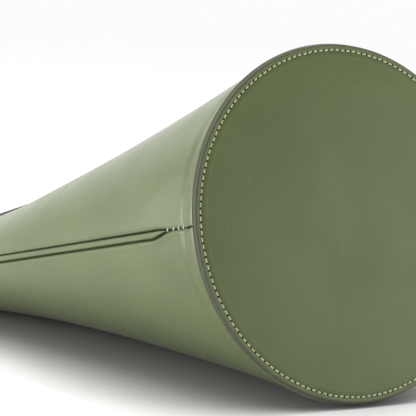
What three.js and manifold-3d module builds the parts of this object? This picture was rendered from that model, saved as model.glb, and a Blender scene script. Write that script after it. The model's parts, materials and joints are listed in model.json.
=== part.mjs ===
// Leather bucket bag: a round stiff base, a two-panel body that narrows to a flat mouth, a short
// carry strap on screw posts and a flap with a magnetic snap. The bag lies on its back panel, as
// when it is put down on a table: +Z is up, the base faces -Y and the mouth faces +Y. Millimetres.
//
// Every piece is first made in the bag's own frame: x across the bag, y from the front panel to
// the back panel, z from the base to the mouth. One group then lays the whole bag down.
import * as THREE from "three";
import { mergeVertices } from "three/addons/utils/BufferGeometryUtils.js";
import Module from "manifold-3d";

// Body
const BASE_RADIUS = 87; // cut edge of the round base leather
const BODY_HEIGHT = 296; // base to mouth, along the bag's axis
const WALL_RADIUS = 84.6; // body radius at the base, before the bottom fold swells it
const WALL_TAPER = 0.2351; // half thickness lost for each millimetre towards the mouth
const FOLD_SWELL = 5.9; // extra radius at the bottom fold
const FOLD_REACH = 28.2; // height over which that swelling dies away
const SQUARING_START = 165; // from here to the mouth the side folds become blunter
const SIDE_FULLNESS = 0.13;
const CORNER_FULLNESS = 0.45;
const GAP = 0.3; // between pieces that touch

// Leather and board thicknesses
const PANEL = 2.0;
const DISC = 2.2;
const BOARD = 1.6;
const LINING = 0.8;
const FACING = 1.2;
const FLANGE_INNER_RADIUS = 78; // the panels' lower edges are turned in under the base
const STITCH_INSET = 3.0;
const THREAD = 0.7;

// Side seams
const WELT_WIDTH = 3.4;
const WELT_RISE = 0.4;
const SEAM_TURN = 18; // the stitched butt seam below this height, the welt above it
const SEAM_TAPER = 13;
const WELT_END = 252;

// Mouth
const FACING_DEPTH = 42;
const LINING_TOP = BODY_HEIGHT - FACING_DEPTH - 0.5;

// Strap and its posts
const POST_HEIGHT = 272;
const POST_RADIUS = 2.4;
const POST_HOLE = 2.8;
const ANCHOR = { low: 244, high: 291, half: 11, inside: 0.7, thick: 1.8 };
const STAND_OFF = 1.4; // the side fold leans outwards under the flat washer
const WASHER = { radius: 6, thick: 0.8 };
const CAP = { radius: 6.2, thick: 2.6 };
const STRAP = { half: 7, layer: 1.5, end: 8, leg: 26, drop: 130, droop: 5.8 };

// Flap over the mouth and the magnetic snap under its tip
const FLAP = { half: 120, layer: 1.3, tip: 146, top: 290, clear: 0.9, rise: 5, tongue: 0.35, columns: 27 };
const FLAP_THICK = 2 * FLAP.layer + GAP;
const FLAP_TURN = 0.62 * Math.PI; // where over the mouth the moving flap ends and its root begins
const ROOT = { half: 105, low: 262 };
const SNAP_HEIGHT = 166;
const SNAP = { socket: 9, stud: 8, thick: 1.3, spread: 20 };

const COLOURS = {
  leather: 0x6f7b55,
  base_leather: 0x5f6b43,
  lining: 0x8f8768,
  board: 0x9a8a6a,
  thread: 0xc3cb96,
  brass: 0xb89a5a,
};

const wasm = await Module();
wasm.setup();

const smooth = (t) => {
  const c = Math.min(1, Math.max(0, t));
  return c * c * (3 - 2 * c);
};

const material = (name) =>
  new THREE.MeshStandardMaterial({
    color: COLOURS[name],
    roughness: name === "brass" ? 0.3 : 0.5,
    metalness: name === "brass" ? 1 : 0,
  });

// ---------------------------------------------------------------- the body's outer surface

const QUARTER_STEPS = 64;

// A section is an ellipse whose side folds grow blunter towards the mouth.
function sectionPoint(half, thick, blunt, angle) {
  const c = Math.cos(angle);
  const s = Math.sin(angle);
  return [
    -half * c * (1 + SIDE_FULLNESS * blunt * s * s),
    thick * s * (1 + CORNER_FULLNESS * blunt * c * c),
  ];
}

// Arc lengths along a quarter of a section, from the side fold to the middle of a panel.
function quarterLengths(half, thick, blunt) {
  const lengths = [0];
  let last = sectionPoint(half, thick, blunt, 0);
  for (let i = 1; i <= QUARTER_STEPS; i++) {
    const here = sectionPoint(half, thick, blunt, (i * Math.PI) / 2 / QUARTER_STEPS);
    lengths.push(lengths[i - 1] + Math.hypot(here[0] - last[0], here[1] - last[1]));
    last = here;
  }
  return lengths;
}

const sections = new Map();

// The section at a height: the leather is not stretched, so its perimeter stays that of the base.
function sectionAt(z) {
  if (sections.has(z)) return sections.get(z);
  const blunt = smooth((z - SQUARING_START) / (BODY_HEIGHT - SQUARING_START));
  const thin = WALL_RADIUS - WALL_TAPER * z;
  const quarter = (Math.PI / 2) * WALL_RADIUS;
  let low = 0;
  let high = 2 * WALL_RADIUS;
  for (let i = 0; i < 40; i++) {
    const middle = (low + high) / 2;
    if (quarterLengths(middle, thin, blunt)[QUARTER_STEPS] > quarter) high = middle;
    else low = middle;
  }
  const swell = FOLD_SWELL * Math.exp(-z / FOLD_REACH);
  const section = { half: low + swell, thick: thin + swell, blunt };
  section.lengths = quarterLengths(section.half, section.thick, blunt);
  sections.set(z, section);
  return section;
}

// The angle whose point lies at an arc length from the near (-x) seam, positive to the back.
function angleAt(z, arc) {
  const { lengths } = sectionAt(z);
  const quarter = lengths[QUARTER_STEPS];
  if (arc > 2 * quarter) return 2 * Math.PI + angleAt(z, arc - 4 * quarter);
  if (arc < -2 * quarter) return angleAt(z, arc + 4 * quarter) - 2 * Math.PI;
  const distance = Math.abs(arc);
  const folded = distance <= quarter ? distance : 2 * quarter - distance;
  let i = 1;
  while (i < QUARTER_STEPS && lengths[i] < folded) i++;
  const share = (folded - lengths[i - 1]) / (lengths[i] - lengths[i - 1]);
  const quarterAngle = ((i - 1 + share) * Math.PI) / 2 / QUARTER_STEPS;
  const angle = distance <= quarter ? quarterAngle : Math.PI - quarterAngle;
  return Math.sign(arc) * angle;
}

const halfPerimeter = (z) => 2 * sectionAt(z).lengths[QUARTER_STEPS];

function surfacePoint(z, angle) {
  const { half, thick, blunt } = sectionAt(z);
  const [x, y] = sectionPoint(half, thick, blunt, angle);
  return new THREE.Vector3(x, y, z);
}

// A point of the body at a height and arc length, moved outwards along the surface normal.
function wallPoint(z, arc, out) {
  const angle = angleAt(z, arc);
  const step = 0.01;
  const along = surfacePoint(z, angle + step).sub(surfacePoint(z, angle - step));
  const up = surfacePoint(z + step, angle).sub(surfacePoint(z - step, angle));
  const normal = up.cross(along).normalize();
  return surfacePoint(z, angle).addScaledVector(normal, out);
}

// ---------------------------------------------------------------- solids

// Turns a closed geometry's faces round if its signed volume is negative.
function facingOut(geometry) {
  const p = geometry.attributes.position;
  const index = geometry.index.array;
  const [a, b, c] = [new THREE.Vector3(), new THREE.Vector3(), new THREE.Vector3()];
  let volume = 0;
  for (let i = 0; i < index.length; i += 3) {
    a.fromBufferAttribute(p, index[i]);
    b.fromBufferAttribute(p, index[i + 1]);
    c.fromBufferAttribute(p, index[i + 2]);
    volume += a.dot(b.cross(c));
  }
  if (volume < 0)
    for (let i = 0; i < index.length; i += 3)
      [index[i + 1], index[i + 2]] = [index[i + 2], index[i + 1]];
  return geometry;
}

// A closed solid between two grids of points with equal rows and columns.
function slab(outer, inner) {
  const rows = outer.length;
  const columns = outer[0].length;
  const positions = [];
  for (const grid of [outer, inner])
    for (const row of grid) for (const p of row) positions.push(p.x, p.y, p.z);
  const at = (side, row, column) => (side * rows + row) * columns + column;
  const index = [];
  const quad = (a, b, c, d) => index.push(a, b, c, a, c, d);
  for (let r = 0; r + 1 < rows; r++)
    for (let c = 0; c + 1 < columns; c++) {
      quad(at(0, r, c), at(0, r + 1, c), at(0, r + 1, c + 1), at(0, r, c + 1));
      quad(at(1, r, c), at(1, r, c + 1), at(1, r + 1, c + 1), at(1, r + 1, c));
    }
  const last = columns - 1;
  for (let r = 0; r + 1 < rows; r++) {
    quad(at(0, r, 0), at(1, r, 0), at(1, r + 1, 0), at(0, r + 1, 0));
    quad(at(0, r, last), at(0, r + 1, last), at(1, r + 1, last), at(1, r, last));
  }
  for (let c = 0; c < last; c++) {
    quad(at(0, 0, c), at(0, 0, c + 1), at(1, 0, c + 1), at(1, 0, c));
    quad(at(0, rows - 1, c), at(1, rows - 1, c), at(1, rows - 1, c + 1), at(0, rows - 1, c + 1));
  }
  const geometry = new THREE.BufferGeometry();
  geometry.setAttribute("position", new THREE.Float32BufferAttribute(positions, 3));
  geometry.setIndex(index);
  return facingOut(geometry);
}

const range = (count, from, to) =>
  Array.from({ length: count }, (_, i) => from + ((to - from) * i) / (count - 1));

// As range, with most of its steps near the two ends, where a panel's side folds are.
const CROWDING = 0.75;
const crowded = (count, from, to) =>
  range(count, 0, 1).map((t) => {
    const eased = (1 - Math.cos(Math.PI * t)) / 2;
    return from + (to - from) * (t + CROWDING * (eased - t));
  });

// A layer of the body: heights up the wall, a span of arc at each height, between two offsets.
function wallLayer(heights, columns, span, outside, inside, steps = range) {
  const grid = (out) =>
    heights.map((z) => steps(columns, ...span(z)).map((arc) => wallPoint(z, arc, out)));
  return slab(grid(outside), grid(inside));
}

function asSolid(geometry) {
  const bare = geometry.clone();
  bare.deleteAttribute("normal");
  bare.deleteAttribute("uv");
  const merged = mergeVertices(bare, 1e-4);
  return new wasm.Manifold(
    new wasm.Mesh({
      numProp: 3,
      vertProperties: merged.attributes.position.array,
      triVerts: new Uint32Array(merged.index.array),
    }),
  );
}

function cut(geometry, tool) {
  const mesh = asSolid(geometry).subtract(asSolid(tool)).getMesh();
  const result = new THREE.BufferGeometry();
  result.setAttribute("position", new THREE.BufferAttribute(mesh.vertProperties, 3));
  result.setIndex(new THREE.BufferAttribute(mesh.triVerts, 1));
  return result;
}

// A round piece turned about z from a closed outline of [radius, height] points.
function turned(outline, segments) {
  const closed = [...outline, outline[0]].map(([r, z]) => new THREE.Vector2(r, z));
  return facingOut(new THREE.LatheGeometry(closed, segments).rotateX(Math.PI / 2));
}

const discOutline = (radius, low, high) => [
  [0, low],
  [radius, low],
  [radius, high],
  [0, high],
];

// A round piece on the x axis at the posts' height: side is -1 for near and 1 for far, and the
// outline's heights are measured outwards from the side fold.
function turnedAcross(side, outline, segments) {
  const out = side * sectionAt(POST_HEIGHT).half;
  return facingOut(
    turned(outline, segments)
      .rotateY((side * Math.PI) / 2)
      .translate(out, 0, POST_HEIGHT),
  );
}

const pieces = [];
function add(name, finish, geometry) {
  const mesh = new THREE.Mesh(geometry, material(finish));
  mesh.name = name;
  pieces.push(mesh);
}

const SIDES = [
  ["near", -1],
  ["far", 1],
];

// ---------------------------------------------------------------- base

const flangeBottom = DISC + GAP;
const flangeTop = flangeBottom + PANEL;
const grooveRadius = BASE_RADIUS - STITCH_INSET;

function baseDisc() {
  return turned(
    [
      [0, 0],
      [grooveRadius - THREAD, 0],
      [grooveRadius - THREAD, 0.9],
      [grooveRadius + THREAD, 0.9],
      [grooveRadius + THREAD, 0],
      [BASE_RADIUS - 0.4, 0],
      [BASE_RADIUS, 0.5],
      [BASE_RADIUS, DISC - 0.3],
      [BASE_RADIUS - 0.3, DISC],
      [0, DISC],
    ],
    64,
  );
}

function baseStitching() {
  const half = THREAD / 2;
  return turned(
    [
      [grooveRadius - half, 0.02],
      [grooveRadius + half, 0.02],
      [grooveRadius + half, 0.6],
      [grooveRadius - half, 0.6],
    ],
    64,
  );
}

const boardLow = flangeTop + GAP;
const boardRadius = BASE_RADIUS - 3;
add("base_disc", "base_leather", baseDisc());
add("base_stitching", "thread", baseStitching());
add("base_filler", "board", turned(discOutline(FLANGE_INNER_RADIUS - 0.5, flangeBottom, flangeTop), 32));
add("base_board", "board", turned(discOutline(boardRadius, boardLow, boardLow + BOARD), 48));
add(
  "base_lining",
  "lining",
  turned(discOutline(boardRadius, boardLow + BOARD + GAP, boardLow + BOARD + GAP + LINING), 48),
);

// ---------------------------------------------------------------- panels, welts and linings

const edge = GAP / 2;

// How far the back panel's edge stands off the seam line to make room for the welt.
function weltRoom(z) {
  const rise = smooth((z - SEAM_TURN) / SEAM_TAPER);
  const fall = smooth((z - WELT_END) / 4);
  return edge + (WELT_WIDTH + GAP) * (rise - fall);
}

const frontSpan = (inset) => (z) => [-inset, inset - halfPerimeter(z)];
const backSpan = (inset) => (z) => [inset, halfPerimeter(z) - inset];

// The lower edge of a panel is folded in under the base: these are its rows before the wall.
const FOLD_OUTSIDE = [
  [FLANGE_INNER_RADIUS, flangeBottom],
  [BASE_RADIUS - 0.3, flangeBottom],
  [BASE_RADIUS + 1.3, flangeBottom + 0.35],
];
const FOLD_INSIDE = [
  [FLANGE_INNER_RADIUS, flangeTop],
  [BASE_RADIUS - 1.4, flangeTop],
  [BASE_RADIUS - 0.5, flangeTop + 0.5],
];
const WALL_START = 3.8;
const WALL_START_INSIDE = 6.6;
const PANEL_COLUMNS = 27;
const LINING_COLUMNS = 21;
const WALL_HEIGHTS = [WALL_START, 9, SEAM_TURN, 21, 24.5, 28, 31, 60, 90, 120, 150, 180, 205, 230];
const MOUTH_HEIGHTS = [WELT_END, 256, POST_HEIGHT, BODY_HEIGHT];

function panel(span, sign) {
  const heights = [...WALL_HEIGHTS, ...MOUTH_HEIGHTS];
  const foldRow = ([radius, z]) =>
    crowded(PANEL_COLUMNS, edge, Math.PI * radius - edge).map((arc) => {
      const angle = (sign * arc) / radius;
      return new THREE.Vector3(-radius * Math.cos(angle), radius * Math.sin(angle), z);
    });
  const wallRow = (out, z) => crowded(PANEL_COLUMNS, ...span(z)).map((arc) => wallPoint(z, arc, out));
  const insideHeights = [WALL_START_INSIDE, ...heights.slice(1)];
  return slab(
    [...FOLD_OUTSIDE.map(foldRow), ...heights.map((z) => wallRow(0, z))],
    [...FOLD_INSIDE.map(foldRow), ...insideHeights.map((z) => wallRow(-PANEL, z))],
  );
}

const postHole = new THREE.CylinderGeometry(POST_HOLE, POST_HOLE, 3 * BASE_RADIUS + 60, 16)
  .rotateZ(Math.PI / 2)
  .translate(0, 0, POST_HEIGHT);

add("front_panel", "leather", cut(panel(frontSpan(edge), -1), postHole));
add("back_panel", "leather", cut(panel((z) => [weltRoom(z), halfPerimeter(z) - weltRoom(z)], 1), postHole));

// The raised strip in a side seam, whose lower end runs out where the butt seam begins.
function welt(side) {
  const heights = [31, 33, 35, 39, 62, 90, 120, 150, 180, 205, 230, WELT_END - 1];
  const span = (z) => {
    const arcs = [edge, Math.max(edge + 0.1, weltRoom(z) - GAP)].map((s) => s + 0.15);
    return side < 0 ? arcs : arcs.map((s) => halfPerimeter(z) - s);
  };
  return wallLayer(heights, 3, span, WELT_RISE, -PANEL);
}

function seamStitching(side) {
  const half = THREAD / 2;
  const span = (z) => [-half, half].map((s) => (side < 0 ? s : halfPerimeter(z) + s));
  return wallLayer([7, 13, 19, 25], 3, span, GAP + 0.5, GAP);
}

for (const [name, side] of SIDES) {
  add(`${name}_welt`, "leather", welt(side));
  add(`${name}_seam_stitching`, "thread", seamStitching(side));
}

const facingTop = -PANEL - 0.5;
const liningOut = facingTop - FACING - 0.2;
const liningHeights = [9.5, 20, 45, 80, 120, 160, 195, 225, LINING_TOP];
const facingHeights = [BODY_HEIGHT - FACING_DEPTH, 256, POST_HEIGHT, BODY_HEIGHT - 0.5];
const LINED = [
  ["front", frontSpan(0.8)],
  ["back", backSpan(0.8)],
];
for (const [name, span] of LINED) {
  const layer = (heights, columns, out, thick) =>
    wallLayer(heights, columns, span, out, out - thick, crowded);
  add(`${name}_lining`, "lining", layer(liningHeights, LINING_COLUMNS, liningOut, LINING));
  const facing = layer(facingHeights, PANEL_COLUMNS, facingTop, FACING);
  add(`${name}_facing`, "leather", cut(facing, postHole));
}

// ---------------------------------------------------------------- anchor tabs and posts

function anchorTab(side) {
  const heights = [0, 1.5, 4, 7.5, 11, 18, 28, 38, ANCHOR.high - ANCHOR.low].map((d) => d + ANCHOR.low);
  const span = (z) => {
    const up = Math.min(z - ANCHOR.low, ANCHOR.half);
    const half = Math.max(2.5, Math.sqrt(ANCHOR.half ** 2 - (ANCHOR.half - up) ** 2));
    return [-half, half].map((s) => (side < 0 ? s : halfPerimeter(z) + s));
  };
  const low = ANCHOR.inside;
  return cut(wallLayer(heights, 11, span, low + ANCHOR.thick, low), postHole);
}

// The stack on each post, measured outwards from the side fold.
const washerLow = ANCHOR.inside + ANCHOR.thick + STAND_OFF;
const strapInside = washerLow + WASHER.thick + GAP;
const strapMiddle = strapInside + STRAP.layer + GAP / 2;
const capLow = strapMiddle + GAP / 2 + STRAP.layer + GAP;

const postOutline = [
  [0, -8],
  [3.6, -8],
  [3.6, -6.8],
  [POST_RADIUS, -6.8],
  [POST_RADIUS, capLow - GAP],
  [0, capLow - GAP],
];
const washerOutline = [
  [POST_HOLE, washerLow],
  [WASHER.radius, washerLow],
  [WASHER.radius, washerLow + WASHER.thick],
  [POST_HOLE, washerLow + WASHER.thick],
];
const capOutline = [
  [0, capLow],
  [CAP.radius, capLow],
  [CAP.radius, capLow + 0.35 * CAP.thick],
  [0.9 * CAP.radius, capLow + 0.7 * CAP.thick],
  [0.65 * CAP.radius, capLow + 0.93 * CAP.thick],
  [0, capLow + CAP.thick],
];

for (const [name, side] of SIDES) {
  add(`${name}_anchor_tab`, "leather", anchorTab(side));
  add(`${name}_post`, "brass", turnedAcross(side, postOutline, 24));
  add(`${name}_washer`, "brass", turnedAcross(side, washerOutline, 24));
  add(`${name}_cap`, "brass", turnedAcross(side, capOutline, 24));
}

// ---------------------------------------------------------------- strap

const strapX = sectionAt(POST_HEIGHT).half + strapMiddle;

// The bag lies on the bottom fold and on the back edge of the mouth, at this angle.
const layAngle = Math.atan(
  (sectionAt(WALL_START).thick - sectionAt(BODY_HEIGHT).thick) / (BODY_HEIGHT - WALL_START),
);
const strapAngle = layAngle - THREE.MathUtils.degToRad(STRAP.droop);

// A point of the strap: across the bag, away from the posts, and across the strap's width.
const strapPoint = (x, away, across) =>
  new THREE.Vector3(
    x,
    -away * Math.sin(strapAngle) - across * Math.cos(strapAngle),
    POST_HEIGHT + away * Math.cos(strapAngle) - across * Math.sin(strapAngle),
  );

// The strap's middle line: a straight leg on each post and half an ellipse between them. Each
// step holds x, the distance from the posts, the outward normal in that plane and the half width.
function strapLine() {
  const steps = [];
  for (const away of [0, 0.8, 2.6, 5, STRAP.end, 14, 20].map((d) => d - STRAP.end)) {
    const left = Math.min(away + STRAP.end, STRAP.half);
    const half = Math.max(2, Math.sqrt(STRAP.half ** 2 - (STRAP.half - left) ** 2));
    steps.push({ x: -strapX, away, normal: [-1, 0], half });
  }
  const depth = STRAP.drop - STRAP.leg;
  for (const angle of range(29, 0, Math.PI / 2)) {
    const normal = new THREE.Vector2(-depth * Math.cos(angle), strapX * Math.sin(angle)).normalize();
    steps.push({
      x: -strapX * Math.cos(angle),
      away: STRAP.leg + depth * Math.sin(angle),
      normal: [normal.x, normal.y],
      half: STRAP.half,
    });
  }
  const mirrored = steps.slice(0, -1).reverse();
  return [...steps, ...mirrored.map((s) => ({ ...s, x: -s.x, normal: [-s.normal[0], s.normal[1]] }))];
}

function strapLayer(outside, inside) {
  const grid = (out) =>
    strapLine().map(({ x, away, normal, half }) =>
      [-half, half].map((across) => strapPoint(x + out * normal[0], away + out * normal[1], across)),
    );
  return cut(slab(grid(outside), grid(inside)), postHole);
}

add("strap", "leather", strapLayer(GAP / 2 + STRAP.layer, GAP / 2));
add("strap_lining", "leather", strapLayer(-GAP / 2, -GAP / 2 - STRAP.layer));

// ---------------------------------------------------------------- flap and snap

const rootOut = facingTop - FACING - 0.5;
const snapLow = GAP;
const studLow = snapLow + SNAP.thick + GAP;
const tipLift = studLow + SNAP.thick + GAP - FLAP.clear;

// Half the flap's width, measured along the wall: a tongue with a round tip.
function flapHalf(z) {
  const t = Math.max(0, (z - FLAP.tip) / (FLAP.top - FLAP.tip));
  return FLAP.half * (FLAP.tongue * Math.sqrt(t) + (1 - FLAP.tongue) * t);
}

// A point of the flap on the front panel, at a depth from its lower face, raised over the snap.
function flapFront(z, across, depth) {
  const far2 = (across ** 2 + (z - SNAP_HEIGHT) ** 2) / SNAP.spread ** 2;
  const lift = FLAP.clear + tipLift * Math.exp(-(Math.max(0, Math.sqrt(far2) - 0.5) ** 2));
  return wallPoint(z, across - halfPerimeter(z) / 2, lift + depth);
}

// The root's inner part lies on the back facing.
const rootPoint = (z, across, depth) =>
  wallPoint(z, halfPerimeter(z) / 2 - across, rootOut - FLAP_THICK + depth);

// Over the mouth the leather bends from the front panel's outside to the back panel's inside.
function flapOver(turn, across, depth) {
  const share = (1 - Math.cos(turn)) / 2;
  const rise = (BODY_HEIGHT - FLAP.top + FLAP.rise + depth) * Math.sin(turn);
  return flapFront(FLAP.top, across, depth)
    .lerp(rootPoint(FLAP.top + 4, across, depth), share)
    .add(new THREE.Vector3(0, 0, rise));
}

const acrossFlap = (half) => range(FLAP.columns, -half, half);

function flapLayer(low, high) {
  const shares = [
    0.0006, 0.004, 0.012, 0.03, 0.06, 0.1, 0.15, 0.2, 0.27, 0.35, 0.45, 0.56, 0.68, 0.8, 0.9, 1,
  ];
  const heights = shares.map((share) => FLAP.tip + share * (FLAP.top - FLAP.tip));
  const turns = range(6, 0, FLAP_TURN).slice(1);
  const grid = (depth) => [
    ...heights.map((z) => acrossFlap(flapHalf(z)).map((a) => flapFront(z, a, depth))),
    ...turns.map((turn) => acrossFlap(FLAP.half).map((a) => flapOver(turn, a, depth))),
  ];
  return slab(grid(high), grid(low));
}

function flapRoot() {
  const start = FLAP_TURN + 0.04;
  const turns = range(6, start, Math.PI);
  const halfAt = (turn) => THREE.MathUtils.mapLinear(turn, start, Math.PI, FLAP.half, ROOT.half);
  const grid = (depth) => [
    ...turns.map((turn) => acrossFlap(halfAt(turn)).map((a) => flapOver(turn, a, depth))),
    ...[282, POST_HEIGHT, ROOT.low].map((z) => acrossFlap(ROOT.half).map((a) => rootPoint(z, a, depth))),
  ];
  return slab(grid(FLAP_THICK), grid(0));
}

add("flap", "leather", flapLayer(FLAP.layer + GAP, FLAP_THICK));
add("flap_lining", "leather", flapLayer(0, FLAP.layer));
add("flap_root", "leather", flapRoot());

const panelFront = (z) => -sectionAt(z).thick;

// A round snap piece lies on the front panel: its axis is the panel's outward normal.
function onFront(geometry) {
  const slope = Math.atan(WALL_TAPER);
  return facingOut(
    geometry.rotateX(Math.PI / 2 - slope).translate(0, panelFront(SNAP_HEIGHT), SNAP_HEIGHT),
  );
}
const socketOutline = [
  [3.6, snapLow],
  [SNAP.socket, snapLow],
  [SNAP.socket - 0.3, snapLow + SNAP.thick],
  [3.6, snapLow + SNAP.thick],
];
const studOutline = [
  [0, studLow - 1],
  [2.6, studLow - 1],
  [3, studLow],
  [SNAP.stud, studLow],
  [SNAP.stud, studLow + SNAP.thick],
  [0, studLow + SNAP.thick],
];
const backWasher = discOutline(SNAP.stud, -PANEL - GAP - 0.8, -PANEL - GAP);
add("snap_socket", "brass", onFront(turned(socketOutline, 32)));
add("snap_stud", "brass", onFront(turned(studOutline, 32)));
add("snap_washer", "brass", onFront(turned(backWasher, 24)));

// ---------------------------------------------------------------- the bag laid on its back

const bag = new THREE.Group();
bag.add(...pieces);
bag.rotation.x = -(Math.PI / 2 + layAngle);
const box = new THREE.Box3().setFromObject(bag, true);
const middle = box.getCenter(new THREE.Vector3());
bag.position.set(-middle.x, -middle.y, -box.min.z);

const bucketBag = new THREE.Group();
bucketBag.add(bag);

export default bucketBag;
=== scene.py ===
"""Leather bucket bag lying on its back panel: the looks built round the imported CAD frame.

Every new piece is worked out in the bag's own frame, in millimetres: x across the bag, y from the
front panel to the back panel, z from the base to the mouth. laid() then puts it in the row frame.
"""

import json

import bpy
import numpy as np
from bpy.props import FloatProperty, FloatVectorProperty, IntProperty, PointerProperty
from bpy.types import Operator, Panel, PropertyGroup
from mathutils import Matrix


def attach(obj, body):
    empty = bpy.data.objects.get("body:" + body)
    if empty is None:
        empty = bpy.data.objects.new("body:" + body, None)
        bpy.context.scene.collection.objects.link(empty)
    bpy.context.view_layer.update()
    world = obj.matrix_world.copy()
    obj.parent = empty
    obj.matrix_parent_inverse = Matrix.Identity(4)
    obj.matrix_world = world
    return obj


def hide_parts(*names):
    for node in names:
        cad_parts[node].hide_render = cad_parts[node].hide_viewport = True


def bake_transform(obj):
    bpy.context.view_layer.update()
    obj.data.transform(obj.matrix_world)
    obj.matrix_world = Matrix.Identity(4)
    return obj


bl_info = {
    "name": "Bucket bag",
    "version": (1, 0, 0),
    "blender": (4, 5, 0),
    "location": "View3D > Sidebar > Bucket bag",
    "description": "Builds a leather bucket bag with a stitched base, a strap and a flap",
    "category": "Add Mesh",
}

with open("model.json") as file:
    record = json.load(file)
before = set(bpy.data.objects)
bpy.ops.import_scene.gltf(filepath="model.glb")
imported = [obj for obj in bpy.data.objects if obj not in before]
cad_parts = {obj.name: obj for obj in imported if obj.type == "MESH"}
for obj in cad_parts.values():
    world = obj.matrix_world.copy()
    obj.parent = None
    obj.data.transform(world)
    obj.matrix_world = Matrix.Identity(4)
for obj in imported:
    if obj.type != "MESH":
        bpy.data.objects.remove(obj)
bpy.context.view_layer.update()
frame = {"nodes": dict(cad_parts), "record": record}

# ------------------------------------------------------------ sizes shared with the part, in mm

BASE_RADIUS, FOOT_RADIUS = 87.0, 87.05
BODY_HEIGHT = 296.0
WALL_RADIUS, WALL_TAPER = 84.6, 0.2351
FOLD_SWELL, FOLD_REACH = 5.9, 28.2
SQUARING_START, SIDE_FULLNESS, CORNER_FULLNESS = 165.0, 0.13, 0.45
GAP = 0.3
PANEL, DISC, LINING, FACING = 2.0, 2.2, 0.8, 1.2
STITCH_INSET = 3.0
WELT_WIDTH, SEAM_TURN, SEAM_TAPER, WELT_END = 2.8, 18.0, 13.0, 252.0
FACING_LOW, MOUTH_SEAM = 254.0, 291.5
POST_HEIGHT = 272.0
ANCHOR_LOW, ANCHOR_HIGH, ANCHOR_HALF, ANCHOR_INSIDE, ANCHOR_THICK = 244.0, 291.0, 11.0, 0.7, 1.8
ANCHOR_TOP = ANCHOR_INSIDE + ANCHOR_THICK
STRAP_HALF, STRAP_THICK, STRAP_END, STRAP_LEG, STRAP_DROP = 7.0, 3.3, 8.0, 26.0, 130.0
STRAP_DROOP = np.radians(5.8)
STRAP_OUT = 6.65  # from the side fold to the middle of the strap's thickness
FLAP_HALF, FLAP_TIP, FLAP_TOP, FLAP_CLEAR, FLAP_RISE, TONGUE = 120.0, 146.0, 290.0, 0.9, 5.0, 0.35
FLAP_THICK, TIP_LIFT, SNAP_HEIGHT, SNAP_SPREAD, SNAP_CALM = 2.9, 2.6, 166.0, 20.0, 17.0
ROOT_OUT, ROOT_HALF, ROOT_LOW = -4.2, 105.0, 262.0
SHEETS = (("front", -1), ("back", 1))
SIDES = (("near", -1), ("far", 1))


# ------------------------------------------------------------ the body's surface


def smooth(t):
    """Smoothstep: 3t^2 - 2t^3 of t held between 0 and 1."""
    t = np.clip(t, 0, 1)
    return t * t * (3 - 2 * t)


def bell(t):
    """exp(-t^2)."""
    return np.exp(-(t**2))


def section_point(half, thick, blunt, angle):
    """An ellipse of half axes half and thick, made blunter by blunt near its side folds."""
    c, s = np.cos(angle), np.sin(angle)
    return (
        -half * c * (1 + SIDE_FULLNESS * blunt * s * s),
        thick * s * (1 + CORNER_FULLNESS * blunt * c * c),
    )


QUARTER = np.linspace(0, np.pi / 2, 129)


def quarter_lengths(half, thick, blunt):
    """Running lengths along a quarter section, summed over chords, for each row of half axes."""
    x, y = section_point(half[:, None], thick[:, None], blunt[:, None], QUARTER)
    chords = np.hypot(np.diff(x), np.diff(y))
    return np.concatenate([np.zeros((len(half), 1)), np.cumsum(chords, 1)], 1)


def solve_sections(z):
    """Half axes and bluntness at heights z. The half thickness falls in a straight line, and the half
    width is found by halving an interval until the perimeter equals the base's. Both then swell by
    an exponential of z at the bottom fold."""
    blunt = smooth((z - SQUARING_START) / (BODY_HEIGHT - SQUARING_START))
    thin = WALL_RADIUS - WALL_TAPER * z
    low, high = np.zeros_like(z), np.full_like(z, 2 * WALL_RADIUS)
    for _ in range(40):
        middle = (low + high) / 2
        over = quarter_lengths(middle, thin, blunt)[:, -1] > np.pi / 2 * WALL_RADIUS
        high, low = np.where(over, middle, high), np.where(over, low, middle)
    swell = FOLD_SWELL * np.exp(-z / FOLD_REACH)
    return low + swell, thin + swell, blunt


TABLE_Z = np.linspace(-2, 302, 609)
TABLE_HALF, TABLE_THICK, TABLE_BLUNT = solve_sections(TABLE_Z)
TABLE_LENGTHS = quarter_lengths(TABLE_HALF, TABLE_THICK, TABLE_BLUNT)


def half_axis(z):
    """Half the bag's width at height z, read from the table."""
    return np.interp(z, TABLE_Z, TABLE_HALF)


def half_perimeter(z):
    """Arc length from the near side seam to the far one at height z."""
    return 2 * np.interp(z, TABLE_Z, TABLE_LENGTHS[:, -1])


def angle_at(z, arc):
    """The section's angle at an arc length from the near seam, by straight interpolation in the
    table of running lengths; the arc is positive towards the back panel and wraps round."""
    z, arc = np.broadcast_arrays(np.asarray(z, float), np.asarray(arc, float))
    place = np.clip((z - TABLE_Z[0]) / (TABLE_Z[1] - TABLE_Z[0]), 0, len(TABLE_Z) - 1.001)
    row = place.astype(int)
    share = (place - row)[..., None]
    lengths = TABLE_LENGTHS[row] * (1 - share) + TABLE_LENGTHS[row + 1] * share
    quarter = lengths[..., -1]
    arc = (arc + 2 * quarter) % (4 * quarter) - 2 * quarter
    size = np.abs(arc)
    folded = np.where(size <= quarter, size, 2 * quarter - size)
    i = np.clip((lengths <= folded[..., None]).sum(-1) - 1, 0, len(QUARTER) - 2)
    start = np.take_along_axis(lengths, i[..., None], -1)[..., 0]
    end = np.take_along_axis(lengths, i[..., None] + 1, -1)[..., 0]
    angle = (i + (folded - start) / (end - start)) * QUARTER[1]
    angle = np.where(size <= quarter, angle, np.pi - angle)
    return np.where(arc < 0, -angle, angle)


def surface_point(z, angle):
    """The outer surface at a height and section angle."""
    half, thick = np.interp(z, TABLE_Z, TABLE_HALF), np.interp(z, TABLE_Z, TABLE_THICK)
    x, y = section_point(half, thick, np.interp(z, TABLE_Z, TABLE_BLUNT), angle)
    return np.stack([x, y, z + 0 * x], -1)


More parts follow.
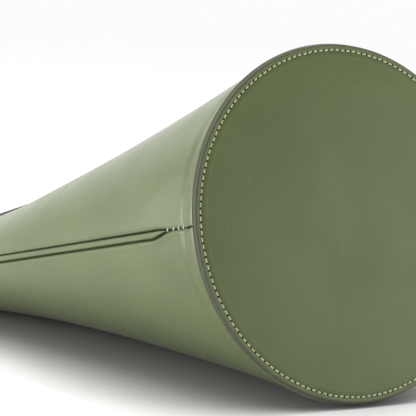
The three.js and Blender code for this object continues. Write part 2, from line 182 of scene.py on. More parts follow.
def wall(z, arc, out=0.0):
    """The outer surface at a height and arc, moved out along its normal, which is the cross product
    of the surface's two central differences."""
    z, arc, out = np.broadcast_arrays(np.asarray(z, float), np.asarray(arc, float), out)
    angle = angle_at(z, arc)
    along = surface_point(z, angle + 0.01) - surface_point(z, angle - 0.01)
    up = surface_point(z + 0.5, angle) - surface_point(z - 0.5, angle)
    normal = unit(np.cross(up, along))
    return surface_point(z, angle) + normal * out[..., None]


def unit(v):
    """Vectors divided by their lengths."""
    return v / np.maximum(np.linalg.norm(v, axis=-1, keepdims=True), 1e-9)


def laid(points):
    """Turns bag millimetres into row-frame metres: z runs along minus the base mount's axis, y is
    square to it and points down, and the base's outer face passes through the mount."""
    mount = frame["record"]["mounts"][0]
    along = -unit(np.array(mount["axis"], float))
    down = np.array([0, along[2], -along[1]])
    points = np.asarray(points, float) / 1000
    return (
        np.array(mount["pos_m"], float)
        + points[..., :1] * np.array([1.0, 0, 0])
        + points[..., 1:2] * down
        + points[..., 2:] * along
    )


# ------------------------------------------------------------ meshes


def make_object(name, verts, faces, uv=None, edge=None):
    """A smooth mesh object from bag-frame points and faces. Its faces are turned round if the signed
    volume, the sum of dot(a, cross(b, c)) over a fan of each four-sided face, is negative. uv is one
    pair per vertex, and edge the painted-edge weight per vertex."""
    verts = laid(verts)
    faces = [list(face) for face in faces]
    a, b, c, d = (verts[corner] for corner in np.array([f for f in faces if len(f) == 4]).T)
    volume = (a * np.cross(b, c)).sum() + (a * np.cross(c, d)).sum()
    if volume < 0:
        faces = [f[::-1] for f in faces]
    mesh = bpy.data.meshes.new(name)
    mesh.from_pydata(verts.tolist(), [], faces)
    mesh.shade_smooth()
    if uv is not None:
        layer = mesh.uv_layers.new(name="UVMap")
        corners = np.empty(len(mesh.loops), np.int32)
        mesh.loops.foreach_get("vertex_index", corners)
        layer.data.foreach_set("uv", np.asarray(uv, np.float32)[corners].ravel())
    if edge is not None:
        paint_edges(mesh, edge)
    obj = bpy.data.objects.new(name, mesh)
    bpy.context.scene.collection.objects.link(obj)
    return obj


def paint_edges(mesh, weight):
    """Stores the painted-edge weight of each vertex."""
    weights = mesh.attributes.new("edge", "FLOAT", "POINT")
    weights.data.foreach_set("value", np.asarray(weight, np.float32).ravel())


def grid_faces(rows, columns, start=0, wrapped=False):
    """Quads of a grid whose vertices run row by row from index start."""
    r = np.arange(rows - 1)[:, None]
    c = np.arange(columns if wrapped else columns - 1)[None]
    n = (c + 1) % columns
    quads = [r * columns + c, (r + 1) * columns + c, (r + 1) * columns + n, r * columns + n]
    return (np.stack(np.broadcast_arrays(*quads), -1).reshape(-1, 4) + start).astype(int)


def slab(name, outer, inner, uv, edge=None):
    """A closed sheet between two equal grids: their quads, the inner ones turned round, and a strip
    along each of the four borders."""
    rows, columns = outer.shape[:2]
    size = rows * columns
    index = np.arange(size).reshape(rows, columns)
    border = np.concatenate([index[0], index[1:, -1], index[-1, -2::-1], index[-2:0:-1, 0]])
    following = np.roll(border, -1)
    strip = np.stack([border, following, following + size, border + size], -1)
    faces = np.concatenate([grid_faces(rows, columns), grid_faces(rows, columns, size)[:, ::-1], strip])
    verts = np.concatenate([outer.reshape(-1, 3), inner.reshape(-1, 3)])
    uv = np.concatenate([uv.reshape(-1, 2)] * 2)
    if edge is None:
        edge = np.zeros((rows, columns))
    return make_object(name, verts, faces, uv, np.concatenate([edge.ravel()] * 2))


def turned(name, profile, segments, per_turn, centre=(0, 0, 0), across=0):
    """A round piece: the (radius, height) profile carried round an axis by cosine and sine, closed at
    its ends by a flat cap. across is 0 for the bag's axis, and otherwise -1 or 1 for a piece on a
    side post whose heights point outwards along x. Its map runs round in per_turn units and
    along the radius."""
    profile = np.asarray(profile, float)
    theta = np.linspace(0, 2 * np.pi, segments, endpoint=False)
    radius, height = profile[:, :1], profile[:, 1:]
    first, second = radius * np.cos(theta), radius * np.sin(theta)
    if across:
        grid = np.stack([across * (height + 0 * first), first, second], -1)
    else:
        grid = np.stack([-first, second, height + 0 * first], -1)
    verts = grid.reshape(-1, 3) + np.array(centre, float)
    faces = grid_faces(len(profile), segments, wrapped=True).tolist()
    faces.append(list(range(segments)))
    faces.append(list(range(len(verts) - segments, len(verts)))[::-1])
    turn = np.broadcast_to(theta / (2 * np.pi) * per_turn, first.shape)
    obj = make_object(name, verts, faces, np.stack([turn, radius + 0 * first], -1).reshape(-1, 2))
    layer = obj.data.uv_layers[0].data
    flat = np.empty(len(layer) * 2, np.float32)
    layer.foreach_get("uv", flat)
    flat = flat.reshape(-1, 2)
    starts = np.empty(len(obj.data.polygons), np.int32)
    obj.data.polygons.foreach_get("loop_start", starts)
    quads = starts[: len(profile) * segments - segments, None] + np.arange(4)
    turns = flat[quads, 0]
    last = turns.max(1) - turns.min(1) > per_turn / 2
    turns[last] = np.where(turns[last] < per_turn / 2, turns[last] + per_turn, turns[last])
    flat[quads, 0] = turns
    layer.foreach_set("uv", flat.ravel())
    return obj


def stitched(name, centres, along, up, length, width, height):
    """One mesh of thread stitches. Each is a rounded bar: s runs along it and a round it, its width
    narrows by the fourth root of 1 - s^6, and its ends dip into the leather by s^6."""
    s = np.array([-1, -0.88, -0.5, 0, 0.5, 0.88, 1])[:, None]
    a = np.linspace(0, 2 * np.pi, 6, endpoint=False)[None]
    narrow = np.maximum(1 - s**6, 0.02) ** 0.25
    lengthwise = s * length / 2 + 0 * a
    sideways = width / 2 * narrow * np.cos(a)
    upwards = height * (narrow * np.sin(a) - 0.9 * s**6)
    along, up = unit(along), unit(up)
    side = np.cross(along, up)
    shape = (len(centres), s.size, a.size, 3)
    points = np.broadcast_to(centres[:, None, None], shape).copy()
    for direction, amount in ((along, lengthwise), (side, sideways), (up, upwards)):
        points += direction[:, None, None] * amount[None, :, :, None]
    count = s.size * a.size
    one = grid_faces(s.size, a.size, wrapped=True)
    quads = (one[None] + np.arange(len(centres))[:, None, None] * count).reshape(-1, 4).tolist()
    ring = np.arange(a.size)
    starts = np.arange(len(centres))[:, None] * count
    first = (ring + starts).tolist()
    last = (ring[::-1] + (s.size - 1) * a.size + starts).tolist()
    return make_object(name, points.reshape(-1, 3), quads + first + last)


def evenly(points, pitch):
    """Points along a 2-D line at equal steps of arc length near pitch, with their directions."""
    steps = np.linalg.norm(np.diff(points, axis=0), axis=1)
    length = np.concatenate([[0], np.cumsum(steps)])
    count = max(2, int(round(length[-1] / pitch)))
    at = (np.arange(count) + 0.5) * length[-1] / count

    def read(d):
        return np.stack([np.interp(d, length, points[:, k]) for k in (0, 1)], -1)

    return read(at), unit(read(at + 0.4) - read(at - 0.4))


def sewn(name, body, line, place, lift):
    """Stitches along a 2-D line that place() maps onto a surface: their direction is the difference
    of two mapped points, and their up direction the difference of two depths."""
    sizes = bpy.context.scene.bag_sizes
    at, direction = evenly(line, sizes.pitch)
    centres = place(at, lift)
    along = place(at + 0.3 * direction, lift) - place(at - 0.3 * direction, lift)
    up = place(at, lift + 1) - centres
    up -= along * ((up * along).sum(-1) / (along**2).sum(-1))[:, None]
    thread = stitched(name, centres, along, up, sizes.stitch_length, sizes.thread, 0.42 * sizes.thread)
    return dress(thread, body, "thread", "waxed_thread")


# How far in from a cut edge each row lies, how far it drops, and its painted-edge weight.
ROUND_IN = np.array([0.0, 0.1, 0.32, 0.7])
ROUND_DROP = np.array([0.75, 0.36, 0.1, 0.0])
ROUND_PAINT = np.array([1.0, 1.0, 0.55, 0.0])


EDGE_STEP = 0.6  # from the last of those rows to the plain ones


def bordered(values, count):
    """Edge values, count zeros and the edge values backwards."""
    return np.concatenate([values, np.zeros(count), values[::-1]])


def with_rounds(low, high, count):
    """Positions from low to high with extra rows near both cut edges, and each one's drop and
    paint."""
    margin = ROUND_IN[-1] + EDGE_STEP
    inner = low + margin + np.linspace(0, 1, count) * (high - low - 2 * margin)
    at = np.concatenate([low + ROUND_IN, inner, high - ROUND_IN[::-1]])
    return at, bordered(ROUND_DROP, count), bordered(ROUND_PAINT, count)


def crowded(t, ease):
    """Shares of 0 to 1 moved towards both ends by ease of the way to a half cosine."""
    return t + ease * ((1 - np.cos(np.pi * t)) / 2 - t)


# ------------------------------------------------------------ finishes


class Finish:
    """A material and short ways to add nodes to it."""

    def __init__(self, name):
        self.material = bpy.data.materials.new(name)
        self.material.use_nodes = True
        self.nodes = self.material.node_tree.nodes
        self.links = self.material.node_tree.links
        self.shader = self.nodes["Principled BSDF"]
        self.place = self.add("ShaderNodeTexCoord").outputs

    def add(self, kind, inputs=None, **settings):
        """Adds a node, sets its attributes, and fills or links its sockets."""
        node = self.nodes.new(kind)
        for key, value in settings.items():
            setattr(node, key, value)
        for key, value in (inputs or {}).items():
            self.feed(node.inputs[key], value)
        return node

    def feed(self, socket, value):
        """Links a socket to an output, or sets its value."""
        if isinstance(value, bpy.types.NodeSocket):
            self.links.new(value, socket)
        else:
            socket.default_value = value

    def noise(self, scale, detail=3.0, rough=0.5):
        """Fractal noise on the object's own coordinates."""
        inputs = {"Vector": self.place["Object"], "Scale": scale, "Detail": detail, "Roughness": rough}
        return self.add("ShaderNodeTexNoise", inputs).outputs["Fac"]

    def between(self, value, from_low, from_high, to_low, to_high):
        """Maps a value from one range to another, held at the ends."""
        ends = {"From Min": from_low, "From Max": from_high, "To Min": to_low, "To Max": to_high}
        return self.add("ShaderNodeMapRange", {"Value": value, **ends}).outputs["Result"]

    def mix(self, factor, first, second):
        """Mixes two colours."""
        node = self.add("ShaderNodeMix", data_type="RGBA")
        for socket, value in zip((node.inputs[0], node.inputs[6], node.inputs[7]), (factor, first, second)):
            self.feed(socket, value)
        return node.outputs[2]

    def sum(self, first, second, operation="ADD"):
        """One arithmetic step on two values."""
        node = self.add("ShaderNodeMath", operation=operation)
        self.feed(node.inputs[0], first)
        self.feed(node.inputs[1], second)
        return node.outputs[0]

    def bump(self, height, distance, strength=1.0, normal=None):
        """A bump from a height, whose distance is in metres, on top of another bump if one is given."""
        node = self.add("ShaderNodeBump", {"Height": height, "Distance": distance, "Strength": strength})
        if normal is not None:
            self.links.new(normal, node.inputs["Normal"])
        return node.outputs["Normal"]

    def set(self, **sockets):
        """Fills the shader's sockets, named with spaces as underscores."""
        for key, value in sockets.items():
            self.feed(self.shader.inputs[key.replace("_", " ")], value)


def rgba(colour, share=1.0):
    """A colour with alpha, brightened or darkened by share."""
    return (*(min(1.0, c * share) for c in colour), 1.0)


def leather_finish(name, colour, edge_colour, looks, punched=False):
    """Smooth calf: mottled colour, fine pores and creases in the bump, faint worn rubbed lines painted
    lighter as a painted sheen, and painted cut edges where the edge weight is high. punched adds the needle
    holes of the base, from its map: one unit a stitch round, and the radius across, as dents with painted
    shade inside them."""
    f = Finish(name)
    cloud = f.noise(22.0, 3.0)
    fine = f.noise(420.0, 2.0)
    tone = f.mix(f.between(cloud, 0.35, 0.65, 0, 1), rgba(colour, 0.93), rgba(colour, 1.07))
    tone = f.mix(f.between(fine, 0.3, 0.7, 0, 0.5), tone, rgba(colour, 0.9))
    # Rubbed lines: worn, and painted lighter in colour as a painted sheen; their roughness is not changed
    stretched = f.add("ShaderNodeMapping", {"Vector": f.place["Object"], "Scale": (260.0, 14.0, 90.0)})
    stretched.inputs["Rotation"].default_value = (0.3, 0.5, 0.7)
    rub_sheen_noise = f.add("ShaderNodeTexNoise", {"Vector": stretched.outputs[0], "Scale": 1.0, "Detail": 2.0})
    rubbed_sheen = f.between(rub_sheen_noise.outputs["Fac"], 0.70, 0.78, 0, 1)
    tone = f.mix(f.sum(rubbed_sheen, 0.22, "MULTIPLY"), tone, rgba(colour, 1.5))
    edge = f.add("ShaderNodeAttribute", attribute_name="edge").outputs["Fac"]
    paint = f.mix(f.noise(300.0, 2.0), rgba(edge_colour, 0.8), rgba(edge_colour, 1.25))
    tone = f.mix(edge, tone, paint)
    pores = f.add("ShaderNodeTexVoronoi", {"Vector": f.place["Object"], "Scale": 1500.0}).outputs["Distance"]
    grain = f.sum(f.sum(pores, 0.6, "MULTIPLY"), f.noise(900.0, 3.0, 0.6))
    normal = f.bump(grain, looks.grain_depth / 1000, 0.35)
    normal = f.bump(f.noise(28.0, 2.0), 0.0006, 0.25, normal)
    rough = f.between(f.noise(60.0, 4.0), 0.3, 0.7, looks.roughness - 0.05, looks.roughness + 0.06)
    rough = f.sum(rough, f.sum(edge, 0.12, "MULTIPLY"))
    if punched:
        split = f.add("ShaderNodeSeparateXYZ", {"Vector": f.place["UV"]}).outputs
        along = f.sum(f.sum(split["X"], 1.0, "FRACT"), 0.5, "SUBTRACT")
        along = f.sum(f.sum(along, 3.25, "MULTIPLY"), 2.0, "POWER")
        radius = BASE_RADIUS - STITCH_INSET
        off = f.sum(f.sum(split["Y"], radius + 0.1, "SUBTRACT"), 2.0, "POWER")
        shaded_hole = f.between(f.sum(along, off), 0.16, 0.5, 1, 0)
        # Painted shade: the needle holes darken the colour nearly to black, besides their dent in the bump
        tone = f.mix(shaded_hole, tone, rgba(colour, 0.04))
        normal = f.bump(f.sum(shaded_hole, -1.0, "MULTIPLY"), 0.0005, 0.8, normal)
        track = f.sum(f.sum(split["Y"], radius - 1.6, "SUBTRACT"), 2.0, "POWER")
        pulled = f.sum(f.between(track, 0.0, 5.0, 1, 0), f.noise(300.0, 2.0), "MULTIPLY")
        normal = f.bump(pulled, 0.0003, 0.6, normal)
    f.set(Base_Color=tone, Roughness=rough, Normal=normal, Specular_IOR_Level=0.3)
    f.set(Coat_Weight=0 if punched else looks.coat, Coat_Roughness=0.2)
    f.set(Sheen_Weight=0.02, Sheen_Roughness=0.45)
    return f.material


def thread_finish(looks):
    """Waxed thread: a fine slanted twist in colour and bump."""
    f = Finish("waxed_thread")
    turned_place = f.add("ShaderNodeMapping", {"Vector": f.place["Object"]})
    turned_place.inputs["Rotation"].default_value = (0.4, 0.7, 0.6)
    wave = f.add("ShaderNodeTexWave", {"Vector": turned_place.outputs[0], "Scale": 900.0, "Distortion": 2.0})
    twist = wave.outputs["Fac"]
    tone = f.mix(twist, rgba(looks.thread_colour, 0.8), rgba(looks.thread_colour, 1.1))
    tone = f.mix(f.between(f.noise(160.0, 2.0), 0.35, 0.65, 0, 0.45), tone, rgba(looks.thread_colour, 0.7))
    f.set(Base_Color=tone, Roughness=0.6, Normal=f.bump(twist, 0.0001, 0.6), Sheen_Weight=0.3)
    return f.material


def lining_finish(looks):
    """Woven cloth: two crossed bands on the piece's own millimetre map, with slubs."""
    f = Finish("woven_lining")
    bands = []
    for direction in ("X", "Y"):
        wave = f.add("ShaderNodeTexWave", {"Vector": f.place["UV"], "Scale": 0.55, "Distortion": 0.6})
        wave.bands_direction = direction
        bands.append(wave.outputs["Fac"])
    weave = f.sum(*bands, "MULTIPLY")
    tone = f.mix(weave, rgba(looks.lining_colour, 0.72), rgba(looks.lining_colour, 1.15))
    tone = f.mix(f.between(f.noise(35.0, 4.0), 0.4, 0.65, 0, 0.35), tone, rgba(looks.lining_colour, 0.8))
    f.set(Base_Color=tone, Roughness=0.85, Normal=f.bump(weave, 0.0002, 0.5), Sheen_Weight=0.25)
    return f.material


def board_finish(looks):
    """Bonded leather board: coarse fibres and specks."""
    f = Finish("bonded_board")
    fibre = f.noise(240.0, 5.0, 0.65)
    tone = f.mix(fibre, rgba(looks.board_colour, 0.6), rgba(looks.board_colour, 1.3))
    f.set(Base_Color=tone, Roughness=0.8, Normal=f.bump(fibre, 0.0003, 0.5))
    return f.material


def brass_finish(looks):
    """Polished brass with fine turning marks, faint tarnish and rubbed highs."""
    f = Finish("polished_brass")
    cloud = f.noise(120.0, 4.0)
    tone = f.mix(f.between(cloud, 0.4, 0.7, 0, 0.6), rgba(looks.brass_colour), rgba(looks.brass_colour, 0.7))
    rough = f.between(f.noise(700.0, 3.0), 0.3, 0.7, 0.16, 0.3)
    f.set(Base_Color=tone, Metallic=1.0, Roughness=rough, Normal=f.bump(f.noise(1500.0, 2.0), 0.00002, 0.4))
    return f.material


def table_finish():
    """Plain white table: a matt sheet whose white barely varies and deepens where the bag shades it."""
    f = Finish("white_table")
    tone = f.mix(f.noise(3.0, 2.0), (0.95, 0.95, 0.95, 1), (0.98, 0.98, 0.98, 1))
    open_sky = f.add("ShaderNodeAmbientOcclusion", {"Distance": 0.32}).outputs["AO"]
    # Painted shadow: the white is darkened towards grey where ambient occlusion finds the bag close by
    tone = f.mix(f.between(open_sky, 0.2, 0.72, 0.0, 1.0), (0.34, 0.34, 0.33, 1), tone)
    f.set(Base_Color=tone, Roughness=0.7)
    return f.material


def finish(name):
    """A finish by name, made once."""
    looks = bpy.context.scene.bag_looks
    if name in bpy.data.materials:
        return bpy.data.materials[name]
    if name == "calf_leather":
        return leather_finish(name, looks.leather_colour, looks.cut_edge_and_seam_shade, looks)
    if name == "punched_calf":
        return leather_finish(name, looks.base_colour, looks.edge_paint, looks, punched=True)
    if name == "white_table":
        return table_finish()
    makers = {
        "waxed_thread": thread_finish,
        "woven_lining": lining_finish,
        "bonded_board": board_finish,
        "polished_brass": brass_finish,
    }
    return makers[name](looks)


def dress(obj, body, slot, finish_name, *nodes):
    """Gives a piece its finish, the CAD body it rides on and the nodes it stands for. Its slot is not used.
    """
    obj.data.materials.append(finish(finish_name))
    if body:
        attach(obj, body)
    if nodes:
        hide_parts(*nodes)
    return obj


def dress_node(name, finish_name):
    """Gives a shown CAD node a better material."""
    node = frame["nodes"][name]
    node.data.materials.clear()
    node.data.materials.append(finish(finish_name))


# ------------------------------------------------------------ sizes and colours a user may change


def colour_value(name, description, default):
    """A colour that a user may change."""
    return FloatVectorProperty(
        name=name, description=description, subtype="COLOR", size=3, min=0, max=1, default=default
    )


def number(name, description, default, low=0, high=100):
    """A number that a user may change."""
    return FloatProperty(name=name, description=description, default=default, min=low, max=high)


class BagSizes(PropertyGroup):
    """Sizes of the sewing and of the leather's small shapes, in millimetres."""

    base_stitches: IntProperty(name="Base stitches", description="Round the base", default=164, min=40)
    pitch: number("Stitch pitch", "From one stitch to the next, mm", 3.3, 1)
    stitch_length: number("Stitch length", "Visible length, mm", 2.3, 0.5)
    thread: number("Thread", "Thread width, mm", 0.85, 0.2)
    bead: number("Fold bead", "Height of the bottom fold's bead, mm", 0.5)
    roll: number("Seam roll", "Depth of the seams' rolled edges, mm", 1.1)
    sag: number("Waviness", "Height of the leather's slow waves, mm", 0.28)


class BagLooks(PropertyGroup):
    """Colours and gloss, and the light."""

    leather_colour: colour_value("Leather", "Body leather", (0.1, 0.125, 0.049))
    base_colour: colour_value("Base leather", "Leather of the base", (0.106, 0.136, 0.048))
    edge_paint: colour_value("Edge paint", "Painted edge of the base", (0.066, 0.058, 0.053))
    # Dyed cut edges, kept near black so the seam lines beside the welts also carry painted seam shade
    cut_edge_and_seam_shade: colour_value("Cut edge", "Dyed edges of panels, strap and flap", (0.015, 0.02, 0.007))
    thread_colour: colour_value("Thread", "Waxed thread", (0.56, 0.6, 0.33))
    lining_colour: colour_value("Lining", "Woven lining", (0.28, 0.24, 0.14))
    board_colour: colour_value("Board", "Bonded board", (0.32, 0.25, 0.15))
    brass_colour: colour_value("Brass", "Posts, caps and snap", (0.78, 0.6, 0.3))
    roughness: number("Roughness", "Leather roughness", 0.4, high=1)
    coat: number("Finish coat", "Weight of the clear finish", 0.32, high=1)
    grain_depth: number("Grain depth", "Depth of the pores, mm", 0.05)
    key_power: number("Key light", "Power of the main light, W", 3.0)
    surround: number("Surround", "Brightness of the white surround", 1.3)


# ------------------------------------------------------------ the base


class BAG_OT_base(Operator):
    """Makes the round base with its painted edge and its ring of stitches"""

    bl_idname = "bucket_bag.base"
    bl_label = "Base"

    def execute(self, context):
        sizes = context.scene.bag_sizes
        radius = BASE_RADIUS - STITCH_INSET
        profile = [
            (0.4, 0.0), (20, 0.0), (50, 0.0), (72, 0.0), (78, 0.02), (radius - 2.4, 0.04),
            (radius - 1.2, 0.12), (radius - 0.5, 0.32), (radius, 0.4), (radius + 0.5, 0.3),
            (radius + 1.1, 0.1), (radius + 1.8, 0.03), (BASE_RADIUS - 1.0, 0.04), (BASE_RADIUS - 0.5, 0.16),
            (BASE_RADIUS - 0.16, 0.42), (BASE_RADIUS, 0.8), (BASE_RADIUS, DISC - 0.5),
            (BASE_RADIUS - 0.2, DISC - 0.12), (BASE_RADIUS - 0.6, DISC), (60, DISC), (0.4, DISC),
        ]
        disc = turned("base_round", profile, 360, sizes.base_stitches)
        paint = np.zeros((len(profile), 360))
        paint[13:18] = np.array([0.5, 1, 1, 1, 1])[:, None]
        paint_edges(disc.data, paint)
        dress(disc, "bag", "base_leather", "punched_calf", "base_disc")

        count = sizes.base_stitches
        theta = np.arange(count) * 2 * np.pi / count
        rng = np.random.default_rng(4)
        wander = radius + rng.normal(0, 0.07, count)
        centres = np.stack([-wander * np.cos(theta), wander * np.sin(theta), 0 * theta + 0.24], -1)
        slant = 0.07 + rng.normal(0, 0.03, count)
        along = np.stack([np.sin(theta + slant), np.cos(theta + slant), 0 * theta], -1)
        up = np.tile([0.0, 0, -1], (count, 1))
        ring = stitched("base_stitches", centres, along, up, sizes.stitch_length, sizes.thread, 0.4)
        dress(ring, "bag", "thread", "waxed_thread", "base_stitching")

        cloth = [(0.4, 6.7), (40, 6.7), (83.6, 6.7), (84, 6.9), (84, 7.3), (83.6, 7.5), (40, 7.5), (0.4, 7.5)]
        floor = turned("base_inner_lining", cloth, 96, 528)
        dress(floor, "bag", "lining", "woven_lining", "base_lining")
        dress_node("base_board", "bonded_board")
        dress_node("base_filler", "bonded_board")
        return {"FINISHED"}


# ------------------------------------------------------------ panels


def welt_room(z):
    """How far the back panel's edge stands off the seam line: it opens by a smoothstep where the butt
    seam ends and closes by another under the anchor tab."""
    open_by = smooth((z - SEAM_TURN) / SEAM_TAPER) - smooth((z - WELT_END) / 4)
    return GAP / 2 + (WELT_WIDTH + GAP) * open_by


def bow(z):
    """How far the front panel's edge and the welt's upper edge stand off the seam line above the butt
    seam: a smoothstep of the height."""
    return 0.7 * smooth((z - SEAM_TURN) / 9)


def modelling(z, arc, edges, roll):
    """Small shapes of the leather, in mm outwards: the foot drawn in to a circle, a tight bead along
    the bottom fold with a valley above it, edges that roll in towards the seams as exponentials of
    the distance squared, a raised lip beside them, a hollow beside each seam just above its butt
    stretch, and slow waves made of sines, which die away round the snap."""
    sizes = bpy.context.scene.bag_sizes
    foot = surface_point(4.0, angle_at(4.0, arc))
    shape = (FOOT_RADIUS - np.hypot(foot[..., 0], foot[..., 1])) * bell(np.maximum(z - 3, 0) / 19)
    shape = shape + sizes.bead * bell((z - 4.3) / 1.3) - 0.85 * bell((z - 8.6) / 2.4)
    near_end = smooth((z - 4.2) / 3)
    width = 0.5 + 0.3 * smooth((z - SEAM_TURN) / 6)
    for distance in edges:
        shape = shape - near_end * roll * bell(distance / width)
        shape = shape + near_end * 0.16 * bell((distance - 1.9) / 0.9)
    hollow = bell((z - SEAM_TURN - 5) / 7) * bell((np.minimum(*edges) - 5) / 5)
    shape = shape - 0.45 * hollow
    turn = np.abs(arc) / half_perimeter(z) * np.pi
    waves = np.sin(3 * turn + 0.021 * z + 0.6) * np.sin(0.034 * z + 1.1) + 0.6 * np.sin(5 * turn - 0.05 * z)
    off_snap = (np.abs(arc) - half_perimeter(z) / 2) ** 2 + (z - SNAP_HEIGHT) ** 2
    calm = np.where(arc < 0, 1 - bell(off_snap / SNAP_CALM**2), 1)
    return shape + sizes.sag * waves * calm * smooth((z - 12) / 40) * smooth((292 - z) / 40)


# Heights of the rows round the bottom fold, close together where it bends.
FOLD_ROWS = np.array([3.6, 4.0, 4.5, 5.0, 5.6, 6.2, 7.0, 7.8, 8.8, 9.8, 10.8, 11.8])
# Radius and height of the rows of the flange folded in under the base, outside and inside.
FLANGE_OUT = ((78, 2.5), (84, 2.5), (86.0, 2.5), (86.5, 2.56), (86.85, 2.7), (87.1, 3.0))
FLANGE_IN = ((78, 4.5), (82, 4.5), (83.2, 4.5), (83.8, 4.6), (84.2, 4.9), (84.4, 5.4))


def panel_rows():
    """Heights of a panel's rows up the wall, evenly spaced above the fold and rounded at the mouth,
    and each one's drop and paint."""
    last = ROUND_IN[-1] + EDGE_STEP
    low = FOLD_ROWS[0] + EDGE_STEP
    even = low + np.linspace(0, 1, 130) * (BODY_HEIGHT - last - low)
    even = even[even > FOLD_ROWS[-1] + EDGE_STEP]
    plain = np.zeros(len(FOLD_ROWS) + len(even))
    heights = np.concatenate([FOLD_ROWS, even, BODY_HEIGHT - ROUND_IN[::-1]])
    return heights, *(np.concatenate([plain, values[::-1]]) for values in (ROUND_DROP, ROUND_PAINT))


def body_panel(name, side, roll):
    """One body panel as a closed sheet. Its rows go up the outside from the flange that is folded in
    under the base, round the fold and up the wall to the mouth; its columns run from seam to seam,
    crowded towards the side folds. The front one's rolled edge fades upwards."""
    heights, mouth_drop, mouth_paint = panel_rows()
    columns = np.concatenate([ROUND_IN, np.linspace(1.1, 9, 12)])
    share = crowded(np.linspace(0, 1, 120)[1:-1], 0.5)
    z = heights[:, None]
    fading = smooth((z - 25) / 110)
    low = GAP / 2 + bow(z) if side < 0 else welt_room(z)
    roll = roll * (0.55 - 0.45 * fading if side < 0 else 1.1)
    shown = 1 - 0.8 * fading if side < 0 else 1 + 0 * z
    span = half_perimeter(z) - 2 * low
    middle = 9 + share * (span - 18)
    distance = np.concatenate([columns + 0 * z, middle, span - columns[::-1]], 1)
    plain = distance.shape[1] - 2 * len(ROUND_IN)
    arc = side * (low + distance)
    lowered = np.maximum(bordered(ROUND_DROP, plain) * shown, mouth_drop[:, None])
    # The panels' cut edges take the near-black cut edge colour: dyed edge and painted seam shade; on the
    # front panel it fades upwards
    paint = np.maximum(bordered(ROUND_PAINT, plain) * 0.85 * shown, mouth_paint[:, None])
    outer = wall(z, arc, modelling(z, arc, (distance, span - distance), roll) - lowered)
    inside_z = np.maximum(z, 6.6) + 0 * arc
    inner = wall(inside_z, arc, -PANEL - 2.2 * bell(inside_z / 19) + np.minimum(0.6 * lowered, 0.4))
    theta = angle_at(FOLD_ROWS[0], arc[0])

    def ring(radius, height):
        return np.stack([-radius * np.cos(theta), radius * np.sin(theta), height + 0 * theta], -1)

    outer = np.concatenate([[ring(*row) for row in FLANGE_OUT], outer])
    inner = np.concatenate([[ring(*row) for row in FLANGE_IN], inner])
    uv = np.stack([arc, z + 0 * arc], -1)
    uv = np.concatenate([np.repeat(uv[:1], len(FLANGE_OUT), 0), uv])
    paint = np.concatenate([np.zeros((len(FLANGE_OUT), paint.shape[1])), paint])
    return slab(name, outer, inner, uv, paint)


class BAG_OT_panels(Operator):
    """Makes the front and back body panels"""

    bl_idname = "bucket_bag.panels"
    bl_label = "Body panels"

    def execute(self, context):
        roll = context.scene.bag_sizes.roll
        for name, side in SHEETS:
            dress(body_panel(f"{name}_body", side, roll), "bag", "leather", "calf_leather", f"{name}_panel")
        for name, side in SHEETS:
            along = np.linspace(7, half_perimeter(MOUTH_SEAM) - 7, 400) * side
            line = np.stack([along, np.full(400, MOUTH_SEAM)], -1)
            sewn(f"{name}_mouth_stitches", "bag", line, lambda p, out: wall(p[:, 1], p[:, 0], out), 0.1)
        return {"FINISHED"}


class BAG_OT_seams(Operator):
    """Makes the raised welts of the side seams and the whip stitches at their lower ends"""

    bl_idname = "bucket_bag.seams"
    bl_label = "Side seams"

    def execute(self, context):
        for name, side in SIDES:
            z = np.concatenate([np.linspace(SEAM_TURN + 1.4, 36, 44), np.linspace(37.5, WELT_END - 1, 110)])
            z = z[:, None]
            room = np.maximum(welt_room(z) - GAP / 2 - 0.45, 0.16)
            inset = np.concatenate([[0, 0.05, 0.12, 0.22], np.linspace(0.3, 0.7, 9), [0.78, 0.88, 0.95, 1]])
            dome = np.sin(np.pi * inset) ** 0.6
            arc = GAP / 2 + 0.2 - bow(z) + inset * (room + bow(z))
            if side > 0:
                arc = half_perimeter(z) - arc
            fade = smooth((z - SEAM_TURN - 1) / 9)
            rise = 1.35 * np.sin(np.pi * inset**1.25) ** 0.6 + 0.25 * bell((inset - 0.82) / 0.1)
            out = -1.0 + (rise - 0.1) * fade
            outer = wall(z, arc, out)
            inner = wall(z, arc, -PANEL + 0 * out)
            # The welt's sides take the near-black cut edge colour: dyed edges and painted seam shade along
            # the seam lines
            edge = np.broadcast_to(0.8 * (1 - smooth(dome / 0.5)), arc.shape)
            uv = np.stack([arc, z + 0 * arc], -1)
            strip = slab(f"{name}_welt_strip", outer, inner, uv, edge)
            dress(strip, "bag", "leather", "calf_leather", f"{name}_welt")

            z = np.array([5.0, 9.0, 13.2, SEAM_TURN - 0.2])
            lean = np.array([1.2, -1.0, 0.9, 0.0])
            arc = 0 * z if side < 0 else half_perimeter(z)
            centres = wall(z, arc, -0.15)
            across = wall(z + 0.5 * lean, arc + 1, -0.15) - wall(z - 0.5 * lean, arc - 1, -0.15)
            up = wall(z, arc, 1.0) - wall(z, arc, 0.0)
            whip = stitched(f"{name}_whip_stitches", centres, across, up, 1.7, 0.7, 0.3)
            dress(whip, "bag", "thread", "waxed_thread", f"{name}_seam_stitching")
        return {"FINISHED"}


